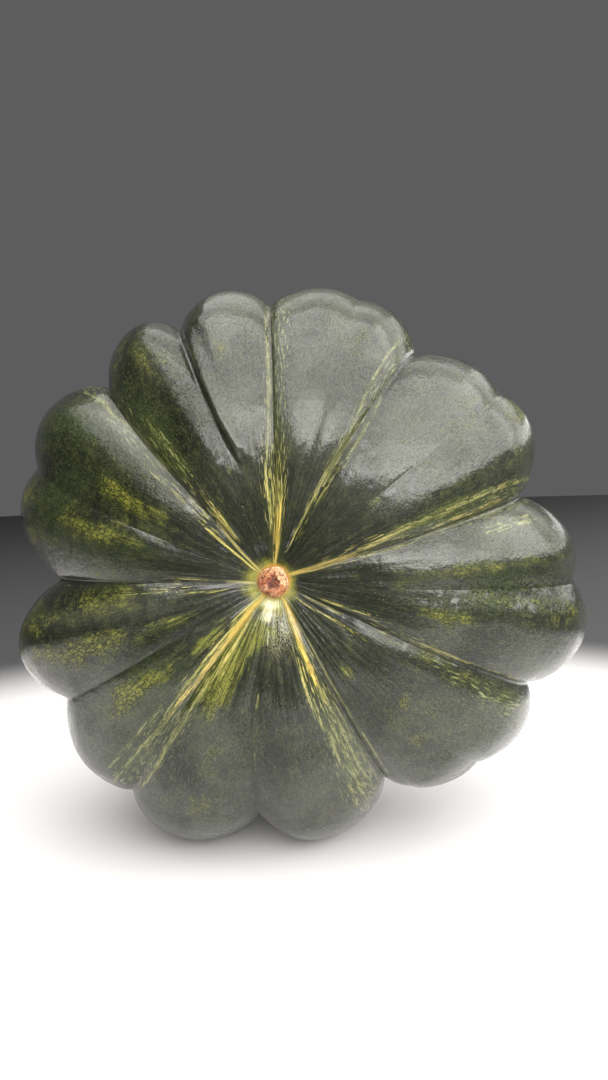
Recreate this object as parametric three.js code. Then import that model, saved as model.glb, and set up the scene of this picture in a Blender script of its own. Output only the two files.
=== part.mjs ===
/**
 * A whole unripe pumpkin of the flat, deeply ribbed kind, standing on its rim.
 *
 * Millimetres, +Z up. The fruit grew around an axis that lies along Y: its blossom face looks
 * towards -Y and its cut stalk sits in the hollow at the +Y side. Two neighbouring lobes carry
 * it, each on a small flat, and the origin is the bottom centre of the whole object.
 */
import * as THREE from "three";

// ---------- driving dimensions: millimetres and degrees ----------
const BODY_RADIUS = 165; // from the axis to the widest circle, before the lobes are shaped
const GROUND_FLAT = 2; // how much of the lowest lobe the ground takes off
const GAP = 0.3; // left between pieces that touch

const BLOSSOM_SEAT = { radius: 10, along: -85 }; // the flat spot that carries the blossom scar
const STALK_SEAT = { radius: 22, along: 55 }; // the flat bottom of the stalk's hollow

// The body's section from one seat, over the blossom crown, the rim and the stalk crown, to the
// other seat: [distance from the axis, distance along it].
const SECTION = [
  [BLOSSOM_SEAT.radius, BLOSSOM_SEAT.along],
  [24, -88.7],
  [46, -90.5],
  [72, -92.1],
  [99, -85.5],
  [124, -71.6],
  [144, -58.5],
  [158.5, -36],
  [164.2, -18],
  [BODY_RADIUS, 0],
  [164.2, 18],
  [158.5, 36],
  [144, 58],
  [124, 77],
  [99, 89],
  [75, 91],
  [53, 85],
  [37, 73],
  [27, 61],
  [STALK_SEAT.radius, STALK_SEAT.along],
];
const SECTION_STEPS = 28;
const SECTION_CROWDING = 0.03; // how strongly the steps crowd towards the seats and the rim

// The furrows, clockwise from the top as the blossom face shows them.
// rim: angle at the rim. sway: further angle that it has turned through at the axis.
// floor: distance of its floor from the axis, at the rim. crest: that of the lobe after it.
// roundness: 0.55 makes a sharp crease between full lobes, 1 an open dent.
// reach: distance from the axis at which it is half faded on its way in; 0 runs to the seats.
// lean: how far the crest of the lobe after it leans towards it on the blossom face.
const FURROWS = [
  { rim: -1, sway: 6, floor: 149.5, crest: 160.5, roundness: 0.7, reach: 0, lean: -0.15 },
  { rim: 18, sway: 0, floor: 159, crest: 158, roundness: 0.95, reach: 75, lean: 0.45 },
  { rim: 34, sway: -7, floor: 143.5, crest: 156.5, roundness: 0.66, reach: 0, lean: 0 },
  { rim: 53, sway: -1, floor: 158.5, crest: 162, roundness: 0.85, reach: 55, lean: 0 },
  { rim: 75, sway: -1, floor: 140, crest: 164, roundness: 0.6, reach: 0, lean: -0.1 },
  { rim: 94, sway: 0, floor: 166, crest: 177.5, roundness: 0.95, reach: 60, lean: 0.1 },
  { rim: 117, sway: -2, floor: 156, crest: 169, roundness: 0.6, reach: 0, lean: 0.5 },
  { rim: 137, sway: 0, floor: 161, crest: 157.5, roundness: 0.95, reach: 115, lean: -0.6 },
  { rim: 156, sway: -4, floor: 136.5, crest: 164, roundness: 0.62, reach: 0, lean: -0.3 },
  { rim: 187, sway: 5, floor: 148, crest: 174.5, roundness: 0.6, reach: 45, lean: 0 },
  { rim: 216, sway: 3, floor: 162.5, crest: 168, roundness: 0.68, reach: 0, lean: 0 },
  { rim: 241, sway: 0, floor: 150.5, crest: 166.5, roundness: 0.62, reach: 30, lean: -0.2 },
  { rim: 269, sway: 4, floor: 130.5, crest: 157, roundness: 0.8, reach: 0, lean: -0.2 },
  { rim: 294, sway: -1, floor: 155, crest: 165.5, roundness: 0.85, reach: 45, lean: 0 },
  { rim: 318, sway: 1, floor: 145, crest: 163.5, roundness: 0.58, reach: 0, lean: -0.6 },
  { rim: 338.5, sway: 6, floor: 148.5, crest: 162, roundness: 0.6, reach: 92, lean: 0.5 },
];
const COLUMNS_PER_LOBE = 8;
const COLUMN_CROWDING = 0.07; // how strongly the columns crowd towards the furrows
const FADE_WIDTH = 25; // half the length over which a furrow fades
const FACE_RELIEF = 2.4; // the higher, the later the lobes grow between a seat and the rim
const STALK_RELIEF = 0.8;
const FACE_ROUNDNESS = 1.25; // of all furrows on the blossom face, inside the rim
const RIM_FOCUS = 10; // the higher, the narrower the rim, where a furrow has its own roundness

const STALK = {
  length: 46,
  ridges: 5,
  ridgeDepth: 0.1, // of the stalk's radius
  twist: 25, // degrees from the foot to the cut
  droop: 7, // how far the cut end hangs below the axis
  lean: 3, // and how far it leans towards +X
  cutSlant: 0.14, // rise of the cut face for each millimetre across it
};
// The stalk's section from the middle of its foot to the middle of its cut face.
const STALK_SECTION = [
  [0, 0],
  [18.2, 0],
  [18.6, 1.6],
  [16.4, 4.5],
  [13.6, 10],
  [11.6, 18],
  [10.6, 27],
  [10.6, 36],
  [11.5, 43.5],
  [11.1, STALK.length],
  [0, STALK.length],
];
const STALK_SEGMENTS = 40;

// The scar's section from the middle of its base over its rim to its pitted middle.
const SCAR_SECTION = [
  [0, 0],
  [6.6, 0],
  [7.8, 0.9],
  [7.9, 2.1],
  [6.9, 3.5],
  [5, 4.4],
  [3.1, 4.3],
  [1.5, 3.7],
  [0, 3.5],
];
const SCAR_SEGMENTS = 30;

const SKIN = new THREE.MeshStandardMaterial({ color: 0x26331d, roughness: 0.42 });
const WOOD = new THREE.MeshStandardMaterial({ color: 0x7d7448, roughness: 0.8 });
const CORK = new THREE.MeshStandardMaterial({ color: 0xb06a3a, roughness: 0.85 });

const { lerp, smoothstep, degToRad } = THREE.MathUtils;

// ---------- the fruit ----------

/** Points of the body's section with the direction that faces out of it, seat to seat. */
function sectionRows() {
  const curve = new THREE.SplineCurve(SECTION.map(([r, y]) => new THREE.Vector2(r, y)));
  const rows = [];
  for (let step = 0; step <= SECTION_STEPS; step += 1) {
    const even = step / SECTION_STEPS;
    const share = even - SECTION_CROWDING * Math.sin(4 * Math.PI * even);
    const tangent = curve.getTangentAt(share);
    rows.push({ point: curve.getPointAt(share), out: new THREE.Vector2(tangent.y, -tangent.x) });
  }
  return rows;
}

/** A furrow's floor where the section is `radius` from the axis: it rises as it fades. */
function floorAt(index, radius) {
  const furrow = FURROWS[index % FURROWS.length];
  const before = FURROWS[(index + FURROWS.length - 1) % FURROWS.length];
  if (furrow.reach === 0) return furrow.floor;
  const fade = smoothstep(radius, furrow.reach - FADE_WIDTH, furrow.reach + FADE_WIDTH);
  return lerp((furrow.crest + before.crest) / 2, furrow.floor, fade);
}

/** How far a lobe stands out from the plain body, `share` of the way to its second furrow. */
function relief(lobe, share, { x: radius, y: along }) {
  const onFace = along < 0;
  const seat = onFace ? BLOSSOM_SEAT : STALK_SEAT;
  const open = Math.max((radius - seat.radius) / (BODY_RADIUS - seat.radius), 0);
  const own = onFace ? open ** RIM_FOCUS : 1;
  const { crest, lean, roundness } = FURROWS[lobe];
  const next = FURROWS[(lobe + 1) % FURROWS.length];
  const first = floorAt(lobe, radius);
  const second = floorAt(lobe + 1, radius);
  const power = lerp(FACE_ROUNDNESS, lerp(roundness, next.roundness, share), own);
  const leaning = share + (lean / 2) * (1 - own) * Math.sin(Math.PI * share) ** 2;
  const bulge = Math.sin(Math.PI * leaning) ** power;
  const height = lerp(first, second, share) + (crest - (first + second) / 2) * bulge;
  return (height - BODY_RADIUS) * open ** (onFace ? FACE_RELIEF : STALK_RELIEF);
}

/** Where a column of points lies: its lobe, its share of that lobe, its angle and its sway. */
function columnPlace(column) {
  const turn = column % (FURROWS.length * COLUMNS_PER_LOBE);
  const lobe = Math.floor(turn / COLUMNS_PER_LOBE);
  const even = (turn % COLUMNS_PER_LOBE) / COLUMNS_PER_LOBE;
  const share = even === 0 ? 0 : even - COLUMN_CROWDING * Math.sin(2 * Math.PI * even);
  const last = lobe === FURROWS.length - 1;
  const next = FURROWS[last ? 0 : lobe + 1];
  return {
    lobe,
    share,
    angle: lerp(FURROWS[lobe].rim, next.rim + (last ? 360 : 0), share),
    sway: lerp(FURROWS[lobe].sway, next.sway, share),
  };
}

/** Moves the points of a plain turned body out to the lobes and in to the furrows. */
function shapeLobes(geometry, rows) {
  const position = geometry.getAttribute("position");
  const perColumn = rows.length + 2; // the rows and the two poles
  const columns = position.count / perColumn;
  for (let column = 0; column < columns; column += 1) {
    const { lobe, share, angle, sway } = columnPlace(column);
    rows.forEach(({ point, out }, row) => {
      const offset = relief(lobe, share, point);
      const radius = point.x + out.x * offset;
      const turned = degToRad(angle + sway * (1 - Math.min(point.x / BODY_RADIUS, 1)));
      const index = column * perColumn + row + 1;
      const along = point.y + out.y * offset;
      position.setXYZ(index, radius * Math.sin(turned), along, radius * Math.cos(turned));
    });
  }
}

/** Presses the lowest lobes flat, so that the fruit stands. */
function flattenUnderside(geometry) {
  geometry.computeBoundingBox();
  const ground = geometry.boundingBox.min.z + GROUND_FLAT;
  const position = geometry.getAttribute("position");
  for (let index = 0; index < position.count; index += 1) {
    position.setZ(index, Math.max(position.getZ(index), ground));
  }
}

function makeFruit() {
  const rows = sectionRows();
  const profile = [
    new THREE.Vector2(0, BLOSSOM_SEAT.along),
    ...rows.map(({ point }) => point),
    new THREE.Vector2(0, STALK_SEAT.along),
  ];
  const geometry = new THREE.LatheGeometry(profile, FURROWS.length * COLUMNS_PER_LOBE);
  shapeLobes(geometry, rows);
  flattenUnderside(geometry);
  geometry.computeVertexNormals();
  const fruit = new THREE.Mesh(geometry, SKIN);
  fruit.name = "fruit";
  return fruit;
}

// ---------- the stalk and the blossom scar ----------

/** A body turned about Y whose every point is then moved by `reshape(point, angle)`. */
function makeTurned(section, segments, reshape) {
  const profile = section.map(([r, y]) => new THREE.Vector2(r, y));
  const geometry = new THREE.LatheGeometry(profile, segments);
  const position = geometry.getAttribute("position");
  const point = new THREE.Vector3();
  for (let index = 0; index < position.count; index += 1) {
    point.fromBufferAttribute(position, index);
    reshape(point, Math.atan2(point.x, point.z));
    position.setXYZ(index, point.x, point.y, point.z);
  }
  geometry.computeVertexNormals();
  return geometry;
}

function makeStalk() {
  const ridged = (point, angle) => {
    const height = point.y / STALK.length;
    const ridge = 1 + STALK.ridgeDepth * Math.cos(STALK.ridges * angle);
    const twist = degToRad(STALK.twist) * height;
    const radius = Math.hypot(point.x, point.z) * ridge;
    point.x = radius * Math.sin(angle + twist) + STALK.lean * height ** 2;
    point.z = radius * Math.cos(angle + twist) - STALK.droop * height ** 2;
    point.y += STALK.cutSlant * point.z * height ** 3;
  };
  const stalk = new THREE.Mesh(makeTurned(STALK_SECTION, STALK_SEGMENTS, ridged), WOOD);
  stalk.name = "stem";
  stalk.position.y = STALK_SEAT.along + GAP;
  return stalk;
}

function makeBlossomScar() {
  const uneven = (point, angle) => {
    const edge = 1 + 0.04 * Math.sin(3 * angle) + 0.03 * Math.sin(5 * angle + 1);
    point.x *= edge;
    point.z *= edge;
  };
  const scar = new THREE.Mesh(makeTurned(SCAR_SECTION, SCAR_SEGMENTS, uneven), CORK);
  scar.name = "blossom_scar";
  scar.rotation.x = Math.PI; // its dome looks towards -Y
  scar.position.y = BLOSSOM_SEAT.along - GAP;
  return scar;
}

// ---------- the whole object, set with its bottom centre on the origin ----------
const pumpkin = new THREE.Group();
pumpkin.name = "pumpkin";
pumpkin.add(makeFruit(), makeStalk(), makeBlossomScar());

const extent = new THREE.Box3().setFromObject(pumpkin, true);
const middle = extent.getCenter(new THREE.Vector3());
pumpkin.position.set(-middle.x, -middle.y, -extent.min.z);

export default pumpkin;
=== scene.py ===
# %% [markdown]
# # A deeply ribbed green pumpkin
#
# This notebook dresses a measured model of a flat-round pumpkin that stands on its rim. The
# model gives the size, the lobes and the furrows. Here the fruit gets a fine surface and its
# speckled, striped, waxy rind, and the corky blossom scar and the cut stalk are modelled.

# %% Load the measured model
import math

import bpy
import numpy as np
from mathutils import Euler, Matrix, Vector, noise


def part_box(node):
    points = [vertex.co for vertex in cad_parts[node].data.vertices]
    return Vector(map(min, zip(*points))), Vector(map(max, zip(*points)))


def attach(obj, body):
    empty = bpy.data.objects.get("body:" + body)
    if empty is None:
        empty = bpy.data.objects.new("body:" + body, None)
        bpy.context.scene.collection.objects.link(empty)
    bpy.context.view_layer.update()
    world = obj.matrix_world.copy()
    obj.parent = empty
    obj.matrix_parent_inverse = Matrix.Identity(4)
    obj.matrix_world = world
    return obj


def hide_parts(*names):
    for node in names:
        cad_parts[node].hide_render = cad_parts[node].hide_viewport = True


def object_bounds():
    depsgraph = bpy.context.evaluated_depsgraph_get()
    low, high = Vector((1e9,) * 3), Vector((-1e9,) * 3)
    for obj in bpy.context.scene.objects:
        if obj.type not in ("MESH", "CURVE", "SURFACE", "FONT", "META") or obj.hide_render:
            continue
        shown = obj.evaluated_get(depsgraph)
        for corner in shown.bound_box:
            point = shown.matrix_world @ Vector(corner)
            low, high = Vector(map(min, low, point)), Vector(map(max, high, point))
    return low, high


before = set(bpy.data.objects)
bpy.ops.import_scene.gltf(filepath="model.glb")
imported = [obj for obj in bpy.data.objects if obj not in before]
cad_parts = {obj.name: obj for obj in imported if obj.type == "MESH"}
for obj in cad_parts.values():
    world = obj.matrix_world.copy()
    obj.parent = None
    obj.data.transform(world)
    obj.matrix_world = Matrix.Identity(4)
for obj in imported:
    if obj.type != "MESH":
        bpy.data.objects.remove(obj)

cad_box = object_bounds()
MM = 0.001

# %% [markdown]
# The fruit grew around an axis. It runs straight back through the middle of the blossom scar,
# so that piece's box gives its place, and no point has to be measured by hand. Every place on
# the rind is then an angle around that axis, and a distance from it.

# %% Find the axis of the fruit
TOUCH_GAP = 0.3 * MM  # left between pieces that touch
SEAT_DEPTH = 85 * MM  # from the blossom seat back to the widest circle
scar_low, scar_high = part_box("blossom_scar")
AXIS = Vector((
    (scar_low.x + scar_high.x) / 2,
    scar_high.y + TOUCH_GAP + SEAT_DEPTH,
    (scar_low.z + scar_high.z) / 2,
))
print("axis at x %.1f, z %.1f mm" % (AXIS.x / MM, AXIS.z / MM))

# %% [markdown]
# ## The studio
#
# A camera set close and a little above the middle of the fruit sees the blossom face almost
# straight on. It could be aimed with a constraint, but plain angles are easier to repeat.

# %% Set the camera
CAMERA_PLACE = Vector((39.1, -490.6, 51.6)) * MM  # from the middle of the fruit
CAMERA_HEADING = math.radians(3.25)
CAMERA_PITCH = math.radians(-4.41)
CAMERA_ROLL = math.radians(-2.06)
CAMERA_SENSOR, CAMERA_LENS = 36, 27.35  # mm
camera_data = bpy.data.cameras.new("camera")
camera_data.sensor_width = CAMERA_SENSOR
camera_data.lens = CAMERA_LENS
camera = bpy.data.objects.new("camera", camera_data)
bpy.context.scene.collection.objects.link(camera)
camera.location = AXIS + CAMERA_PLACE
aim = Euler((math.pi / 2 + CAMERA_PITCH, 0, CAMERA_HEADING)).to_matrix()
camera.rotation_euler = (aim @ Matrix.Rotation(CAMERA_ROLL, 3, "Z")).to_euler()
bpy.context.scene.camera = camera
print("camera %.0f mm from the axis" % (CAMERA_PLACE.length / MM))

# %% [markdown]
# A wax-smooth rind mirrors the sky, and the grey sheens on its lobes are that sky's image. Here
# it is bright in front, to the right and above, weak behind, and nearly dark on the left, so
# the left flanks of the lobes stay deep green. A sun lamp would be simpler, but it leaves small
# hard glints. One wide ceiling gives calm, broad sheens, and cut into panels it can be as
# uneven as a real sky.

# %% Set the lights
SKY_TINT = (1, 0.985, 0.95)
SKY_HEIGHT = 2.0
SKY = {  # the lowest and the highest x and y of each panel, in metres, and its strength
    "far_sky": ((-0.9, -21.0), (9.0, -13.0), 4.0),
    "low_sky": ((-0.9, -13.0), (9.0, -5.0), 8.0),
    "left_sky": ((-1.5, -13.0), (-0.9, 0.9), 1.7),
    "front_sky": ((-0.9, -5.0), (9.0, -2.0), 6.0),
    "right_sky": ((1.5, -2.0), (9.0, 0.9), 4.0),
    "side_sky": ((1.5, 0.9), (4.0, 3.2), 1.4),
    "far_side_sky": ((4.0, 0.9), (14.0, 10.0), 1.9),
    "top_sky": ((-0.9, -2.0), (1.5, 0.3), 3.9),
    "crown_sky": ((-0.9, 0.3), (1.5, 1.8), 1.3),
    "back_sky": ((-0.9, 1.8), (1.5, 3.2), 0.2),
}


def hang_panel(name, low, high, strength):
    """Hangs an even rectangular light that faces down, between two corners."""
    data = bpy.data.lights.new(name, "AREA")
    data.shape = "RECTANGLE"
    data.size, data.size_y = high[0] - low[0], high[1] - low[1]
    data.energy = strength * math.pi * data.size * data.size_y
    data.color = SKY_TINT
    light = bpy.data.objects.new(name, data)
    bpy.context.scene.collection.objects.link(light)
    light.location = ((low[0] + high[0]) / 2, (low[1] + high[1]) / 2, SKY_HEIGHT)
    light.visible_camera = False


for panel_name, (low, high, strength) in SKY.items():
    hang_panel(panel_name, low, high, strength)
print("panels:", len(SKY))

# %% Set the backdrop
BACKDROP = (0.11, 0.108, 0.112, 1)
world = bpy.data.worlds.new("studio")
bpy.context.scene.world = world
world.use_nodes = True
world.node_tree.nodes["Background"].inputs["Color"].default_value = BACKDROP
bpy.context.scene.view_settings.view_transform = "Standard"
print("backdrop grey %.2f" % BACKDROP[1])

# %% [markdown]
# The fruit stands on a plain pale floor. A square plane would show its corners, so the floor is
# a wide disc. The rind mirrors it from below, so it is pale only round the fruit, as a table
# would be, and dark further out.

# %% Lay the floor
FLOOR_RADIUS = 6
bpy.ops.object.select_all(action="DESELECT")
bpy.ops.mesh.primitive_circle_add(
    vertices=96, radius=FLOOR_RADIUS, fill_type="NGON", location=(0, 0, 0)
)
floor = bpy.context.object
floor.name = "floor"
print("floor radius", FLOOR_RADIUS, "m")

# %% [markdown]
# Every finish is a tree of nodes. Wiring each node by hand would hide the recipe in clutter, so
# a small helper class adds a node and links it in one line.


# %% A helper for node materials
class Nodes:
    """Builds one material: each call adds a node, and a value that is a socket is linked."""

    def __init__(self, name):
        self.material = bpy.data.materials.new(name)
        self.material.use_nodes = True
        self.tree = self.material.node_tree
        self.shader = self.tree.nodes["Principled BSDF"]

    def put(self, socket, value):
        if isinstance(value, bpy.types.NodeSocket):
            self.tree.links.new(value, socket)
        else:
            socket.default_value = value

    def add(self, kind, settings=None, **inputs):
        node = self.tree.nodes.new(kind)
        for key, value in (settings or {}).items():
            setattr(node, key, value)
        for key, value in inputs.items():
            self.put(node.inputs[key.replace("_", " ")], value)
        return node

    def math(self, operation, a, b=0.0, c=0.0, clamp=False):
        node = self.tree.nodes.new("ShaderNodeMath")
        node.operation = operation
        node.use_clamp = clamp
        for socket, value in zip(node.inputs, (a, b, c)):
            self.put(socket, value)
        return node.outputs[0]

    def ramp(self, value, low, high, out_low=0.0, out_high=1.0):
        """Maps low..high smoothly to out_low..out_high."""
        node = self.tree.nodes.new("ShaderNodeMapRange")
        node.interpolation_type = "SMOOTHSTEP"
        for socket, entry in zip(node.inputs, (value, low, high, out_low, out_high)):
            self.put(socket, entry)
        return node.outputs[0]

    def mix(self, share, a, b):
        """Colour a where the share is 0, colour b where it is 1."""
        node = self.tree.nodes.new("ShaderNodeMix")
        node.data_type = "RGBA"
        self.put(node.inputs[0], share)
        self.put(node.inputs[6], a)
        self.put(node.inputs[7], b)
        return node.outputs[2]

    def noise(self, vector, scale, detail=3.0, roughness=0.55):
        inputs = {"Scale": scale, "Detail": detail, "Roughness": roughness}
        return self.add("ShaderNodeTexNoise", Vector=vector, **inputs).outputs[0]

    def stored(self, name, output):
        """What the mesh stores under a name: a Vector, or one number as Fac."""
        return self.add("ShaderNodeAttribute", {"attribute_name": name}).outputs[output]

    def bump(self, height, strength, distance, normal=None):
        node = self.add("ShaderNodeBump", Height=height, Strength=strength, Distance=distance)
        if normal is not None:
            self.put(node.inputs["Normal"], normal)
        return node.outputs[0]


# %% Paint the floor
FLOOR_PALE = (0.71, 0.70, 0.71, 1)
FLOOR_DARK = (0.05, 0.05, 0.052, 1)
FLOOR_EDGE = (0.36, 0.62)  # metres from the middle, where the pale starts and ends to fade
FLOOR_GLOW = 0.02  # lifts the shadow under the fruit a little, as a bright room would
floor_paint = Nodes("pale_floor")
floor_place = floor_paint.add("ShaderNodeTexCoord").outputs["Object"]
floor_far = floor_paint.add("ShaderNodeVectorMath", {"operation": "LENGTH"}).outputs["Value"]
floor_paint.put(floor_far.node.inputs[0], floor_place)
floor_colour = floor_paint.mix(floor_paint.ramp(floor_far, *FLOOR_EDGE), FLOOR_PALE, FLOOR_DARK)
floor_paint.put(floor_paint.shader.inputs["Base Color"], floor_colour)
floor_paint.shader.inputs["Roughness"].default_value = 0.6
floor_glow = floor_paint.ramp(floor_far, *FLOOR_EDGE, FLOOR_GLOW, 0.0)
floor_paint.shader.inputs["Emission Color"].default_value = (1, 1, 1, 1)
floor_paint.put(floor_paint.shader.inputs["Emission Strength"], floor_glow)
floor.data.materials.append(floor_paint.material)
print("floor:", len(floor_paint.tree.nodes), "nodes")

# %% [markdown]
# ## The fruit
#
# The measured fruit is a grid of triangles: 128 columns that run from the blossom to the
# stalk, eight to each lobe, crossed by 29 rings. Sculpting a fresh fruit would lose those
# measurements, so a copy is welded and its triangles are joined back to quads. The two fans
# round the ends of the axis stay triangles, because paired they would break the grid.

# %% Copy the fruit as clean quads
LOBES = 16
COLUMNS_PER_LOBE = 8
COLUMNS = LOBES * COLUMNS_PER_LOBE


def select_faces(piece, wanted):
    """Goes into edit mode with just the faces for which wanted(face) holds selected."""
    bpy.ops.object.mode_set(mode="EDIT")
    bpy.ops.mesh.select_mode(type="FACE")
    bpy.ops.mesh.select_all(action="DESELECT")
    bpy.ops.object.mode_set(mode="OBJECT")
    for face in piece.data.polygons:
        face.select = bool(wanted(face))
    bpy.ops.object.mode_set(mode="EDIT")


MANY_EDGES = 12  # more than this meet in one point only at a tip
WELD_GAP = 0.01 * MM


def find_tips(piece):
    """The two points where a whole ring of edges meets, in order along Y."""
    meeting = np.bincount(np.array([edge.vertices for edge in piece.data.edges]).ravel())
    tips = np.flatnonzero(meeting > MANY_EDGES)
    return sorted(tips, key=lambda point: piece.data.vertices[point].co.y)


def copy_as_quads(node, name):
    """A welded copy of a measured piece, with its triangles joined except round its tips."""
    piece = bpy.data.objects.new(name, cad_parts[node].data.copy())
    piece.data.materials.clear()
    bpy.context.scene.collection.objects.link(piece)
    bpy.ops.object.select_all(action="DESELECT")
    piece.select_set(True)
    bpy.context.view_layer.objects.active = piece
    bpy.ops.object.mode_set(mode="EDIT")
    bpy.ops.mesh.select_all(action="SELECT")
    bpy.ops.mesh.remove_doubles(threshold=WELD_GAP)
    bpy.ops.object.mode_set(mode="OBJECT")
    tips = set(find_tips(piece))
    select_faces(piece, lambda face: not tips & set(face.vertices))
    bpy.ops.mesh.tris_convert_to_quads(
        face_threshold=math.pi, shape_threshold=math.pi, topology_influence=1
    )
    bpy.ops.object.mode_set(mode="OBJECT")
    sides = [len(face.vertices) for face in piece.data.polygons]
    print(name, "cage:", sides.count(4), "quads and", sides.count(3), "triangles")
    return piece


def smooth_cage(piece, levels):
    """Rounds a cage off by subdividing it."""
    modifier = piece.modifiers.new("smooth", "SUBSURF")
    modifier.levels = modifier.render_levels = levels
    modifier.uv_smooth = "NONE"
    bpy.ops.object.modifier_apply(modifier="smooth")
    piece.data.polygons.foreach_set("use_smooth", [True] * len(piece.data.polygons))
    print(piece.name, "smoothed to", len(piece.data.vertices), "points")


skin = copy_as_quads("fruit", "skin")

# %% [markdown]
# Stripes, speckles and dents of a pumpkin all follow its lobes, so every place on the rind gets
# an address: its column and its ring. Rings are counted outwards from the blossom end along the
# edges. Within a ring the columns are counted from furrow 1, which runs dead straight at one
# angle. The addresses are kept as a UV map, because a UV map survives smoothing.

# %% Number the rings and columns
# The angle of each furrow at the rim, clockwise from the top as the blossom face shows them.
FURROW_TURNS = (
    -1, 18, 34, 53, 75, 94, 117, 137, 156, 187, 216, 241, 269, 294, 318, 338.5
)
STRAIGHT_FURROW = 1
TURN_SLACK = 0.5  # degrees, so that the straight furrow's own column comes first


def find_rings(piece, tip):
    """The points one edge away from the tip, then those two edges away, and so on."""
    links = [[] for _ in piece.data.vertices]
    for edge in piece.data.edges:
        start, end = edge.vertices
        links[start].append(end)
        links[end].append(start)
    rows = [[tip]]
    reached = {tip}
    while rows[-1]:
        rows.append(sorted({other for point in rows[-1] for other in links[point]} - reached))
        reached.update(rows[-1])
    return rows[:-1]


cage = np.array([vertex.co - AXIS for vertex in skin.data.vertices])
cage_radius = np.hypot(cage[:, 0], cage[:, 2])
cage_turn = np.degrees(np.arctan2(cage[:, 0], cage[:, 2]))
rows = find_rings(skin, find_tips(skin)[0])
RINGS = len(rows) - 2
ring = {point: place for place, members in enumerate(rows) for point in members}
column = {}
for members in rows[1:RINGS + 1]:
    first_turn = FURROW_TURNS[STRAIGHT_FURROW] - TURN_SLACK
    members.sort(key=lambda point: (cage_turn[point] - first_turn) % 360)
    for place, point in enumerate(members):
        column[point] = (place + STRAIGHT_FURROW * COLUMNS_PER_LOBE) % COLUMNS
print(RINGS, "rings of", len(column) // RINGS, "points")

# %% Measure along the crests
crests = np.array(rows[1:RINGS + 1])[:, COLUMNS_PER_LOBE // 2::COLUMNS_PER_LOBE]
strides = np.linalg.norm(np.diff(cage[crests], axis=0), axis=2).mean(axis=1)
seat_radii = cage_radius[crests[0]].mean(), cage_radius[crests[-1]].mean()
RING_DISTANCES = np.cumsum([0, seat_radii[0], *strides, seat_radii[1]])
print("blossom to stalk %.0f mm over a crest" % (RING_DISTANCES[-1] / MM))

# %% Keep the addresses as a UV map
address = skin.data.uv_layers.new(name="address")
for face in skin.data.polygons:
    places = [column[point] for point in face.vertices if point in column]
    on_seam = max(places) - min(places) > 1
    if on_seam:
        places = [place or COLUMNS for place in places]
    for corner in face.loop_indices:
        point = skin.data.loops[corner].vertex_index
        place = column.get(point, sum(places) / len(places))
        if on_seam and place == 0:
            place = COLUMNS
        address.data[corner].uv = (place / COLUMNS, ring[point] / (RINGS + 1))
print("addresses on", len(skin.data.loops), "corners")

# %% [markdown]
# Some furrows end in a sharp crease and some are open dents. A crease weight on the edges
# along the bottom of a furrow keeps that furrow sharp while the lobes round off. Cutting
# grooves with a tool would leave ragged walls, and weights cost nothing.

# %% Crease the sharp furrows
# Furrow by furrow: how sharp it is, 0 to 1, and where it begins, in mm from the axis.
CREASE_WEIGHTS = (0.45, 0, 0.55, 0, 0.9, 0, 0.9, 0, 0.9, 0.7, 0.5, 0.3, 0.95, 0, 1, 0.95)
FURROW_STARTS = (0, 75, 0, 55, 0, 60, 0, 115, 0, 45, 0, 30, 0, 45, 0, 92)
FURROW_FADE = 25  # mm over which a furrow begins
crease = skin.data.attributes.new("crease_edge", "FLOAT", "EDGE")
for edge in skin.data.edges:
    start, end = edge.vertices
    place = column.get(start, 1)
    if place == column.get(end) and place % COLUMNS_PER_LOBE == 0:
        furrow = place // COLUMNS_PER_LOBE
        past_start = (cage_radius[start] / MM - FURROW_STARTS[furrow]) / FURROW_FADE
        crease.data[edge.index].value = CREASE_WEIGHTS[furrow] * min(max(past_start, 0), 1)
smooth_cage(skin, 2)

# %% [markdown]
# Now every fine point reads its address back, as degrees round the fruit at the rim and as
# millimetres along a crest from the middle of the blossom. All the marks below are drawn in
# these two numbers.

# %% Read the addresses back
COLUMN_CROWDING = 0.07  # how much closer together the columns sit near a furrow


def column_to_turn(across):
    """Degrees at the rim, from a place 0..16 across the lobes."""
    lobe = np.floor(across).astype(int) % LOBES
    even = across % 1
    share = even - COLUMN_CROWDING * np.sin(2 * math.pi * even)
    turns = np.array(FURROW_TURNS + (FURROW_TURNS[0] + 360,))
    return turns[lobe] + (turns[lobe + 1] - turns[lobe]) * share


owners = np.empty(len(skin.data.loops), dtype=np.int32)
skin.data.loops.foreach_get("vertex_index", owners)
corner_uv = np.empty(2 * len(owners), dtype=np.float32)
skin.data.uv_layers["address"].data.foreach_get("uv", corner_uv)
uv = np.zeros((len(skin.data.vertices), 2))
uv[owners] = corner_uv.reshape(-1, 2)
across = uv[:, 0] * LOBES
degree = column_to_turn(across)
distance = np.interp(uv[:, 1] * (RINGS + 1), np.arange(RINGS + 2), RING_DISTANCES) / MM


def read_points(piece):
    """The place of every point, in metres."""
    flat = np.empty(3 * len(piece.data.vertices), dtype=np.float32)
    piece.data.vertices.foreach_get("co", flat)
    return flat.reshape(-1, 3).astype(float)


def read_normals(piece):
    """The outward direction at every point."""
    flat = np.empty(3 * len(piece.data.vertices), dtype=np.float32)
    piece.data.vertex_normals.foreach_get("vector", flat)
    return flat.reshape(-1, 3).astype(float)


GRAIN_RADIUS = 100  # mm, on which the grain's two coordinates for the angle lie
points = read_points(skin)
radius = np.hypot(points[:, 0] - AXIS.x, points[:, 2] - AXIS.z) / MM
grain = np.stack([
    GRAIN_RADIUS * np.cos(np.radians(degree)), GRAIN_RADIUS * np.sin(np.radians(degree)), distance
], axis=1) * MM
print("degrees %.0f to %.0f, distances 0 to %.0f mm" % (degree.min(), degree.max(), distance.max()))

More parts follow.
